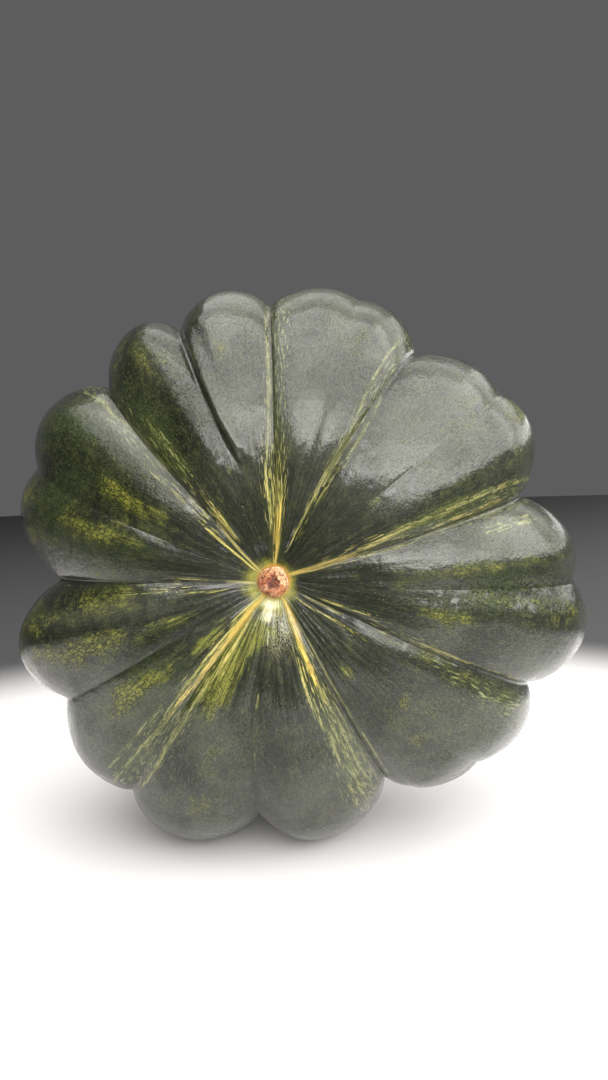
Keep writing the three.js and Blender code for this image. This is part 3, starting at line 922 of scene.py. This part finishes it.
# %% Read the rind's coordinates and marks
class GrownFinish(Nodes):
    """A material that reads the grain coordinates and the marks stored on the points."""

    def __init__(self, name):
        super().__init__(name)
        self.place = self.add("ShaderNodeTexCoord").outputs["Object"]
        self.grain = self.stored("grain", "Vector")

    def drawn_out(self, stretch):
        """The grain coordinates, stretched along the lobes."""
        node = self.add("ShaderNodeVectorMath", {"operation": "MULTIPLY"})
        self.put(node.inputs[0], self.grain)
        node.inputs[1].default_value = (1, 1, 1 / stretch)
        return node.outputs[0]

    def fields(self, name):
        """The three numbers that the mesh stores under one name."""
        node = self.add("ShaderNodeSeparateXYZ")
        self.put(node.inputs[0], self.stored(name, "Vector"))
        return node.outputs

    def cells(self, vector, size):
        """Lines between cells of the given size: 1 on a line, 0 inside a cell."""
        settings = {"feature": "DISTANCE_TO_EDGE"}
        node = self.add("ShaderNodeTexVoronoi", settings, Vector=vector, Scale=1 / size)
        return self.ramp(node.outputs["Distance"], 0.02, 0.22, 1.0, 0.0)

    def between(self, share, low, high):
        """From low to high as the share goes from 0 to 1."""
        return self.math("MULTIPLY_ADD", share, high - low, low)

    def times(self, *values):
        """All the values multiplied together."""
        product = values[0]
        for value in values[1:]:
            product = self.math("MULTIPLY", product, value)
        return product


rind = GrownFinish("rind")
olive, cream, halo_share = rind.fields("patches")
bloom_and_sheen, shaded_crease, scurf_and_glints = rind.fields("bloom_sheen_shade_scurf")
spray, spray_gold, dull = rind.fields("spray")
from_blossom = rind.fields("grain")[2]
print("marks read from", [layer.name for layer in skin.data.attributes if layer.domain == "POINT"])

# %% Share out the noises
# A scale is in cells per metre: at 1000 a grain is about a millimetre wide.
clouds = rind.noise(rind.place, 30, detail=3)
mottle = rind.noise(rind.place, 150, detail=4, roughness=0.6)
fleck = rind.noise(rind.drawn_out(3), 1050, detail=2, roughness=0.6)
speck = rind.noise(rind.drawn_out(1.6), 1500, detail=2, roughness=0.7)
grit = rind.noise(rind.place, 1100, detail=3, roughness=0.65)
streak = rind.noise(rind.drawn_out(9), 500, detail=4, roughness=0.65)
ray = rind.noise(rind.drawn_out(11), 270, detail=3, roughness=0.6)
strand = rind.noise(rind.drawn_out(12), 1000, detail=2, roughness=0.5)
dash = rind.noise(rind.drawn_out(7), 1100, detail=1, roughness=0.5)
leather = rind.noise(rind.place, 290, detail=2, roughness=0.5)
edge_noise = rind.math("SUBTRACT", rind.math("ADD", mottle, clouds), 1.0)
near = rind.ramp(from_blossom, 95 * MM, 45 * MM)  # 1 round the blossom, 0 further out
outer = rind.ramp(from_blossom, 30 * MM, 90 * MM)  # 0 round the blossom, 1 further out
print("shared fields:", len(rind.tree.nodes), "nodes")

# %% Paint the ground and the flecks
tone = rind.math("ADD", rind.math("MULTIPLY", clouds, 0.6), rind.math("MULTIPLY", mottle, 0.4))
tone = rind.math("ADD", tone, rind.ramp(from_blossom, 20 * MM, 90 * MM, -0.12, 0.0))
colour = rind.mix(rind.ramp(tone, 0.38, 0.60), DEEP_GREEN, LIFTED_GREEN)
tinge = rind.noise(rind.drawn_out(1.6), 24, detail=3, roughness=0.5)
colour = rind.mix(rind.times(rind.ramp(tinge, 0.48, 0.66), outer, 0.5), colour, LEAFY_GREEN)
streaks = rind.times(rind.ramp(streak, 0.50, 0.66), rind.ramp(mottle, 0.35, 0.62, 0.2, 0.6))
colour = rind.mix(streaks, colour, FLECK_GREEN)
flecks = rind.times(rind.ramp(fleck, 0.52, 0.62), rind.ramp(mottle, 0.38, 0.6, 0.25, 0.85))
colour = rind.mix(flecks, colour, FLECK_GREEN)
print("ground:", len(rind.tree.nodes), "nodes")

# %% [markdown]
# An olive patch is yellow at its heart and greener towards its edge, under a net of dark lines,
# as if the rind had cracked while it grew. Near the blossom the net gives way to streaks that
# run with the lobes, light ones in the patches and dark ones over all.

# %% Paint the patches
drift = rind.noise(rind.drawn_out(2.5), 140, detail=4, roughness=0.6)
ragged = rind.math("MULTIPLY_ADD", rind.math("ADD", drift, edge_noise), 1.5, -0.75)
olive_edge = rind.math("ADD", olive, ragged)
olive_share = rind.ramp(olive_edge, 0.15, 1.05, 0.0, 0.9)
NET_MESH = 2.3 * MM
net = rind.cells(rind.drawn_out(1.6), NET_MESH)
net_share = rind.times(net, rind.ramp(grit, 0.35, 0.6, 0.35, 0.95), rind.between(near, 1.0, 0.3))
olive_depth = rind.math("MULTIPLY_ADD", olive_edge, -0.30, streak)
olive_colour = rind.mix(rind.ramp(olive_depth, 0.12, 0.42), OLIVE_YELLOW, OLIVE_GREEN)
colour = rind.mix(olive_share, colour, rind.mix(net_share, olive_colour, NET_GREEN))
strokes = rind.times(rind.ramp(strand, 0.50, 0.60), near, rind.ramp(olive_share, 0.2, 0.8))
colour = rind.mix(rind.times(strokes, 0.85), colour, LEAF_YELLOW)
colour = rind.mix(rind.times(rind.ramp(ray, 0.51, 0.41), near, 0.8), colour, DEEP_GREEN)
halo_edge = rind.math("ADD", halo_share, rind.math("MULTIPLY", edge_noise, 0.6))
colour = rind.mix(rind.ramp(halo_edge, 0.15, 0.7, 0.0, 0.8), colour, HALO_GREEN)
print("patches:", len(rind.tree.nodes), "nodes")

# %% Scatter the specks, paint the pale stain, and the scurf with its painted glints
dark_specks = rind.ramp(speck, 0.47, 0.40)
colour = rind.mix(rind.times(dark_specks, 0.8), colour, DARK_SPECK)
light_specks = rind.ramp(speck, 0.58, 0.66)
straw_share = rind.ramp(from_blossom, 20 * MM, 80 * MM, 0.2, 0.35)
colour = rind.mix(rind.times(light_specks, straw_share), colour, STRAW_SPECK)
cream_edge = rind.math("ADD", cream, rind.math("MULTIPLY_ADD", strand, 1.6, -0.8))
cream_share = rind.times(rind.ramp(cream_edge, 0.35, 0.8), rind.ramp(cream, 0.05, 0.3))
colour = rind.mix(cream_share, colour, CREAM_WHITE)
# pale specks of scurf, partly painted glints
colour = rind.mix(rind.times(scurf_and_glints, rind.ramp(speck, 0.50, 0.58)), colour, CREAM_WHITE)
print("specks:", len(rind.tree.nodes), "nodes")

# %% [markdown]
# A line on a pumpkin is no ribbon of paint: it frays into strands, it breaks up where it is
# weak, and it turns from gold to leaf green on its way out. So the stored distance from the
# line is shaken by the streaky noise before it is cut off, and the strength decides how many of
# the fine grains take the colour.

# %% Scatter the loose dashes
tint = rind.ramp(rind.noise(rind.drawn_out(7), 800, detail=1), 0.38, 0.62)
far = rind.ramp(from_blossom, 38 * MM, 80 * MM)
dashes = rind.ramp(rind.math("MULTIPLY_ADD", spray, 0.20, dash), 0.62, 0.72)
near_spray = rind.mix(tint, rind.mix(spray_gold, PALE_YELLOW, GOLD), LEAF_YELLOW)
spray_colour = rind.mix(far, near_spray, rind.mix(tint, FAR_STRAW, FAR_LEAF))
colour = rind.mix(rind.ramp(spray, 0.15, 0.8, 0.0, 0.3), colour, OLIVE_GREEN)
colour = rind.mix(rind.times(dashes, rind.ramp(spray, 0.02, 0.3)), colour, spray_colour)
print("dashes:", len(rind.tree.nodes), "nodes")

# %% Paint the lines
wander = rind.math("MULTIPLY", rind.math("SUBTRACT", streak, 0.5), 1.2)
specky = rind.math("MULTIPLY_ADD", fleck, 0.30, rind.math("MULTIPLY", speck, 0.15))
grainy = rind.math("MULTIPLY_ADD", strand, 0.55, specky)
amber = rind.ramp(rind.noise(rind.drawn_out(14), 1300, detail=1), 0.50, 0.60, 0.0, 0.85)
for layer_name in STRIPES:
    off_middle, line_strength, yellow = rind.fields(layer_name)
    off_line = rind.math("ABSOLUTE", rind.math("ADD", off_middle, wander))
    body = rind.ramp(off_line, 0.25, 0.75, 1.0, 0.0)
    glow = rind.times(rind.ramp(off_line, 0.3, 1.6, 1.0, 0.0), line_strength, 0.45)
    colour = rind.mix(glow, colour, OLIVE_GREEN)
    taken = rind.ramp(rind.math("MULTIPLY_ADD", line_strength, 0.19, grainy), 0.57, 0.64)
    plain_tint = rind.mix(yellow, PALE_YELLOW, rind.mix(amber, GOLD, AMBER))
    near_line = rind.mix(rind.times(tint, 0.75), plain_tint, LEAF_YELLOW)
    far_tint = rind.mix(rind.times(yellow, 0.55), FAR_STRAW, plain_tint)
    far_line = rind.mix(rind.times(tint, 0.9), far_tint, FAR_LEAF)
    colour = rind.mix(rind.times(body, taken), colour, rind.mix(far, near_line, far_line))
print("lines:", len(rind.tree.nodes), "nodes")

# %% Darken the specks, paint shade into the furrows and ring the scar
colour = rind.mix(rind.times(dark_specks, far, 0.45), colour, DARK_SPECK)
ring_edge = rind.math("MULTIPLY_ADD", streak, 4 * MM, from_blossom)
ring_share = rind.ramp(ring_edge, 11.5 * MM, 9.4 * MM, 0.0, 0.65)
colour = rind.mix(ring_share, colour, RING_ORANGE)
# painted shade: the bottoms of the sharp furrows are darkened
colour = rind.mix(rind.times(shaded_crease, 0.75), colour, PAINTED_CREASE_SHADE)
print("ring and creases:", len(rind.tree.nodes), "nodes")

# %% [markdown]
# The wax is a clear coat over the greens, with a grey veil of bloom and painted sheen where the
# bloom is thick. It is weaker on the olive patches and where it is rubbed off, and streaky near
# the blossom. The bumps of the rind are finer than any mesh could hold, so they only bend the
# light.

# %% Coat the rind with wax
RIND_SPECULAR = 0.15
RIND_COAT_ROUGHNESS = 0.13
bloom_sheen_share = rind.ramp(rind.math("ADD", bloom_and_sheen, rind.math("MULTIPLY", edge_noise, 0.8)), 0.0, 1.0)
# painted sheen: the grey veil is mixed into the colour where the bloom ovals lie
colour = rind.mix(rind.between(bloom_sheen_share, 0.01, 0.22), colour, BLOOM_SHEEN_GREY)
rind.put(rind.shader.inputs["Base Color"], colour)
roughness = rind.math("MULTIPLY_ADD", dark_specks, 0.1, rind.between(bloom_sheen_share, 0.32, 0.42))
roughness = rind.math("MULTIPLY_ADD", dull, 0.25, roughness)
roughness = rind.math("MULTIPLY_ADD", shaded_crease, 0.2, roughness)
rind.put(rind.shader.inputs["Roughness"], roughness)
rind.shader.inputs["Specular IOR Level"].default_value = RIND_SPECULAR
unrubbed = rind.math("SUBTRACT", 1.0, rind.times(dull, rind.ramp(mottle, 0.36, 0.5)), clamp=True)
cloudy = rind.ramp(clouds, 0.36, 0.62, 0.72, 1.08)
shine = rind.times(cloudy, rind.ramp(olive_share, 0.1, 0.9, 1.0, 0.55), unrubbed)
streaky = rind.ramp(ray, 0.42, 0.60, 0.25, 1.5)
streaky = rind.math("MULTIPLY_ADD", outer, rind.math("SUBTRACT", 1.0, streaky), streaky)
shine = rind.times(rind.between(mottle, 1.25, 0.75), shine, streaky)
rind.put(rind.shader.inputs["Coat Weight"], rind.math("MULTIPLY_ADD", dark_specks, -0.4, shine))
rind.shader.inputs["Coat Roughness"].default_value = RIND_COAT_ROUGHNESS
print("wax:", len(rind.tree.nodes), "nodes")

# %% Roughen the rind with fine bumps
pores = rind.bump(speck, 1.0, 0.03 * MM)
ridges = rind.bump(fleck, 1.0, 0.03 * MM, pores)
cracks = rind.bump(net, 0.5, -0.03 * MM, ridges)
pebbles = rind.bump(leather, 1.0, 0.16 * MM, cracks)
uneven = rind.bump(rind.noise(rind.place, 110, detail=3), 1.0, 0.25 * MM, pebbles)
rind.put(rind.shader.inputs["Normal"], uneven)
rind.put(rind.shader.inputs["Coat Normal"], uneven)
skin.data.materials.append(rind.material)
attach(skin, "root")
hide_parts("fruit")
print("rind:", len(rind.tree.nodes), "nodes")

# %% [markdown]
# ## The blossom scar
#
# The dried flower leaves a button of cork. Cork is a crowd of tiny grains with gaps between
# them, and some of the grains have fallen out and left dark pits. Both are real holes here, made
# by pushing the points of a finely subdivided button inwards between the cells of a random
# pattern. The same pattern tells the material where it is dark.

# %% Copy the button and find its grains
CORK_GRAIN = 1.25 * MM
GROOVE_WIDTH, PIT_RADIUS, PIT_WALL = 0.16, 0.46, 0.14  # in grains
GRAINS_KEPT = -0.1  # the higher, the fewer grains have fallen out
GRAIN_SPREAD = 7.7  # sends neighbouring grains to different random numbers
cork = copy_as_quads("blossom_scar", "cork")
smooth_cage(cork, 3)
cork_points = read_points(cork)
cork_places = cork_points - np.array([AXIS.x, scar_high.y, AXIS.z])
grooves = np.zeros(len(cork_points))
pits = np.zeros(len(cork_points))
for number, place in enumerate(cork_places):
    gaps, centres = noise.voronoi(Vector(place) / CORK_GRAIN)
    grooves[number] = math.exp(-((gaps[1] - gaps[0]) / GROOVE_WIDTH) ** 2)
    fallen_out = noise.cell(centres[0] * GRAIN_SPREAD) > GRAINS_KEPT
    pits[number] = fallen_out * min(max((PIT_RADIUS - gaps[0]) / PIT_WALL, 0), 1)
print("pits over %.0f %% of the cork" % (100 * pits.mean()))

# %% Press the grain into the button
HOLLOW_RADIUS, HOLLOW_RAGGED = 3.7, 1.8  # mm, of the sunken dark middle and its ragged edge
HOLLOW_WALL = 0.8  # mm
FOOT_HEIGHT = 0.2  # mm at the foot of the button that stay smooth
GROOVE_DEPTH, PIT_DEPTH, HOLLOW_DEPTH = 0.14, 0.45, 0.35  # mm
FACE_HEIGHT = 2.5 * MM  # above its foot, where the button's flank ends and its face begins
from_middle = np.hypot(cork_places[:, 0], cork_places[:, 2]) / MM
hollow_edge = HOLLOW_RADIUS + HOLLOW_RAGGED * ripple(cork_places, 0.0024, 7)
hollow = np.clip((hollow_edge - from_middle) / HOLLOW_WALL, 0, 1)
hollow *= cork_places[:, 1] < -FACE_HEIGHT
exposed = np.clip(-cork_places[:, 1] / MM - FOOT_HEIGHT, 0, 1)
uneven_cork = 0.12 * np.abs(ripple(cork_places, 0.0016, 8))
cork_depth = GROOVE_DEPTH * grooves + PIT_DEPTH * pits + HOLLOW_DEPTH * hollow + uneven_cork
cork_depth *= exposed
cork_points -= read_normals(cork) * cork_depth[:, None] * MM
cork.data.vertices.foreach_set("co", cork_points.astype(np.float32).ravel())
cork.data.update()
store(cork, "cork", np.stack([pits, hollow, grooves], axis=1))
# painted light: the upper right of the button is marked for a painted highlight, the lower left for
# painted shade
CORK_RADIUS = 7 * MM
upper_right = (cork_places[:, 0] + cork_places[:, 2]) / (2 * CORK_RADIUS)
store(cork, "painted_light_side", np.clip(0.5 + upper_right, 0, 1))
print("cork up to %.1f mm deep" % cork_depth.max())

# %% [markdown]
# Cork is tan where it is sound and red-brown in its pits and grooves. Its upper right side gets
# a painted highlight of straw, and its lower left painted shade of red-brown. One colour with a
# bump map would look like clay, so the grooves, the pits and the hollow each bring their own
# colour, from the same numbers that shaped them.

# %% Colour the cork
CORK_TAN = (0.45, 0.175, 0.060, 1)
CORK_PALE = (0.74, 0.47, 0.24, 1)
CORK_PAINTED_HIGHLIGHT = (0.80, 0.54, 0.30, 1)
CORK_RED = (0.17, 0.035, 0.014, 1)
PIT_BROWN = (0.045, 0.013, 0.008, 1)
button = GrownFinish("cork")
pitted, hollowed, grooved = button.fields("cork")
cork_fine = button.noise(button.place, 900, detail=4, roughness=0.6)
cork_cloud = button.noise(button.place, 240, detail=3)
cork_colour = button.mix(button.ramp(cork_cloud, 0.42, 0.62), CORK_TAN, CORK_PALE)
painted_light_side = button.stored("painted_light_side", "Fac")
painted_light_edge = button.math("MULTIPLY_ADD", cork_cloud, 0.9, painted_light_side)
# painted highlight: straw on the upper right of the button
cork_colour = button.mix(button.ramp(painted_light_edge, 0.85, 1.6, 0.0, 0.8), cork_colour, CORK_PAINTED_HIGHLIGHT)
# painted shade: red-brown on the lower left of the button
cork_colour = button.mix(button.ramp(painted_light_edge, 0.9, 0.45, 0.0, 0.5), cork_colour, CORK_RED)
red_grains = button.times(button.ramp(cork_fine, 0.48, 0.60), 0.65)
cork_colour = button.mix(red_grains, cork_colour, CORK_RED)
cork_colour = button.mix(button.times(grooved, 0.65), cork_colour, CORK_RED)
cork_colour = button.mix(button.times(hollowed, 0.85), cork_colour, CORK_RED)
brown_share = button.times(hollowed, button.ramp(cork_cloud, 0.45, 0.55), 0.7)
cork_colour = button.mix(brown_share, cork_colour, PIT_BROWN)
cork_colour = button.mix(button.times(pitted, 0.9), cork_colour, PIT_BROWN)
button.put(button.shader.inputs["Base Color"], cork_colour)
button.put(button.shader.inputs["Roughness"], button.ramp(cork_fine, 0.3, 0.7, 0.55, 0.85))
button.put(button.shader.inputs["Normal"], button.bump(cork_fine, 1.0, 0.12 * MM))
cork.data.materials.append(button.material)
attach(cork, "root")
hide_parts("blossom_scar")
print("cork:", len(button.tree.nodes), "nodes")

# %% [markdown]
# ## The stalk
#
# The stalk was cut and has dried. Its copy gets a rounded cut edge with a bevel, and two insets
# sink the softer core, as it shrinks more than the wood round it. Long fibres and a few warts
# are then pressed in. They follow the five ridges, which twist on their way to the cut, so each
# point of the cage is first told its angle on its own ring, with the twist taken out.

# %% Cut and dry the stalk
STALK_LENGTH = 46 * MM
STALK_TWIST = math.radians(25)
CUT_BEVEL = 0.9 * MM
CUT_STEPS = ((1.8, -0.25), (2.6, -0.7))  # mm inwards and mm deep, from the rim to the core
stem_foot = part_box("stem")[0]
stalk = copy_as_quads("stem", "stalk")
cut_rim = set(find_rings(stalk, find_tips(stalk)[1])[1])
bpy.ops.object.mode_set(mode="EDIT")
bpy.ops.mesh.select_mode(type="EDGE")
bpy.ops.mesh.select_all(action="DESELECT")
bpy.ops.object.mode_set(mode="OBJECT")
for edge in stalk.data.edges:
    edge.select = set(edge.vertices) <= cut_rim
bpy.ops.object.mode_set(mode="EDIT")
bpy.ops.mesh.bevel(offset=CUT_BEVEL, segments=2, affect="EDGES")
bpy.ops.object.mode_set(mode="OBJECT")
cut_tip = find_tips(stalk)[1]
select_faces(stalk, lambda face: cut_tip in face.vertices)
for inwards, deep in CUT_STEPS:
    bpy.ops.mesh.inset(thickness=inwards * MM, depth=deep * MM)
bpy.ops.object.mode_set(mode="OBJECT")
print("stalk cage:", len(stalk.data.vertices), "points")

# %% Address the stalk
CUT_ROWS = 5  # the last rows, which lie on the cut
stalk_rows = find_rings(stalk, find_tips(stalk)[0])
stalk_cage = read_points(stalk)
stalk_grain = np.zeros((len(stalk_cage), 3))
on_cut = np.zeros(len(stalk_cage))
for place, members in enumerate(stalk_rows):
    middle = stalk_cage[members].mean(axis=0)
    height = (middle[1] - stem_foot.y) / STALK_LENGTH
    outwards = stalk_cage[members] - middle
    turn = np.arctan2(outwards[:, 0], outwards[:, 2]) - STALK_TWIST * height
    heights = np.full(len(members), height)
    stalk_grain[members] = np.stack([np.sin(turn), np.cos(turn), heights], axis=1)
    on_cut[members] = place >= len(stalk_rows) - CUT_ROWS
store(stalk, "stalk_grain", stalk_grain)
store(stalk, "on_cut", on_cut)
print("stalk rows:", len(stalk_rows))

# %% Press in the fibres
smooth_cage(stalk, 3)


def read_stored(piece, name, width):
    """What store() kept, after smoothing has carried it to the new points."""
    values = np.empty(width * len(piece.data.vertices), dtype=np.float32)
    piece.data.attributes[name].data.foreach_get("vector" if width == 3 else "value", values)
    return values.reshape(-1, width).astype(float)


stalk_grain = read_stored(stalk, "stalk_grain", 3)
on_cut = read_stored(stalk, "on_cut", 1)[:, 0]
stalk_points = read_points(stalk)
FIBRE_DEPTH, WART_DEPTH, CUT_DEPTH = 0.9, 0.35, 0.3  # mm
coarse_fibres = np.abs(ripple(stalk_grain * (1, 1, 0.5), 0.16, 9))
fibres = coarse_fibres + 0.5 * np.abs(ripple(stalk_grain * (1, 1, 0.9), 0.07, 10))
warts = np.abs(ripple(stalk_points, 0.004, 11))
rough_cut = CUT_DEPTH * np.abs(ripple(stalk_points, 0.0016, 12))
stalk_depth = (FIBRE_DEPTH * fibres + WART_DEPTH * warts) * (1 - on_cut) + rough_cut * on_cut
stalk_points -= read_normals(stalk) * stalk_depth[:, None] * MM
stalk.data.vertices.foreach_set("co", stalk_points.astype(np.float32).ravel())
stalk.data.update()
store(stalk, "fibres", np.stack([fibres, on_cut, stalk_grain[:, 2]], axis=1))
print("fibres up to %.1f mm deep" % stalk_depth.max())

# %% [markdown]
# A dried stalk is straw with a little green left at its foot, and brown in the valleys between
# its fibres. The cut is paler and shows the ends of the fibres. Streaks that run with the
# fibres tell the eye which way it grew, so the noise is stretched along the stalk's own grain.

# %% Colour the stalk
STALK_GREEN = (0.12, 0.125, 0.035, 1)
STALK_STRAW = (0.36, 0.28, 0.12, 1)
STALK_BROWN = (0.10, 0.062, 0.028, 1)
CUT_PALE = (0.52, 0.42, 0.24, 1)
CUT_BROWN = (0.22, 0.13, 0.06, 1)
wood = GrownFinish("stalk_wood")
fibre, cut, up = wood.fields("fibres")
wood.grain = wood.stored("stalk_grain", "Vector")
wood_streak = wood.noise(wood.drawn_out(6), 9, detail=5, roughness=0.65)
wood_cloud = wood.noise(wood.place, 120, detail=3)
wood_grit = wood.noise(wood.place, 1300, detail=3, roughness=0.6)
wood_colour = wood.mix(wood.ramp(wood_cloud, 0.4, 0.62), STALK_GREEN, STALK_STRAW)
wood_colour = wood.mix(wood.ramp(wood_streak, 0.44, 0.6), wood_colour, STALK_STRAW)
wood_colour = wood.mix(wood.ramp(fibre, 0.1, 0.55, 0.0, 0.85), wood_colour, STALK_BROWN)
wood_colour = wood.mix(wood.ramp(up, 0.16, 0.02, 0.0, 0.6), wood_colour, STALK_GREEN)
cut_grain = wood.noise(wood.place, 420, detail=4)
cut_colour = wood.mix(wood.ramp(cut_grain, 0.42, 0.62), CUT_PALE, CUT_BROWN)
wood_colour = wood.mix(cut, wood_colour, cut_colour)
wood_colour = wood.mix(wood.times(wood.ramp(wood_grit, 0.55, 0.68), 0.4), wood_colour, STALK_BROWN)
wood.put(wood.shader.inputs["Base Color"], wood_colour)
wood.put(wood.shader.inputs["Roughness"], wood.ramp(wood_grit, 0.3, 0.7, 0.62, 0.85))
wood_fine = wood.bump(wood_streak, 1.0, 0.5 * MM, wood.bump(wood_grit, 1.0, 0.12 * MM))
wood.put(wood.shader.inputs["Normal"], wood_fine)
stalk.data.materials.append(wood.material)
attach(stalk, "root")
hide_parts("stem")
print("stalk:", len(wood.tree.nodes), "nodes")

# %% [markdown]
# ## Size
#
# The measured model's box is printed, in millimetres. The dressed model may not outgrow the
# measured one.

# %% Print the measured box
print("cad box", [round(value / MM, 1) for corner in cad_box for value in corner])
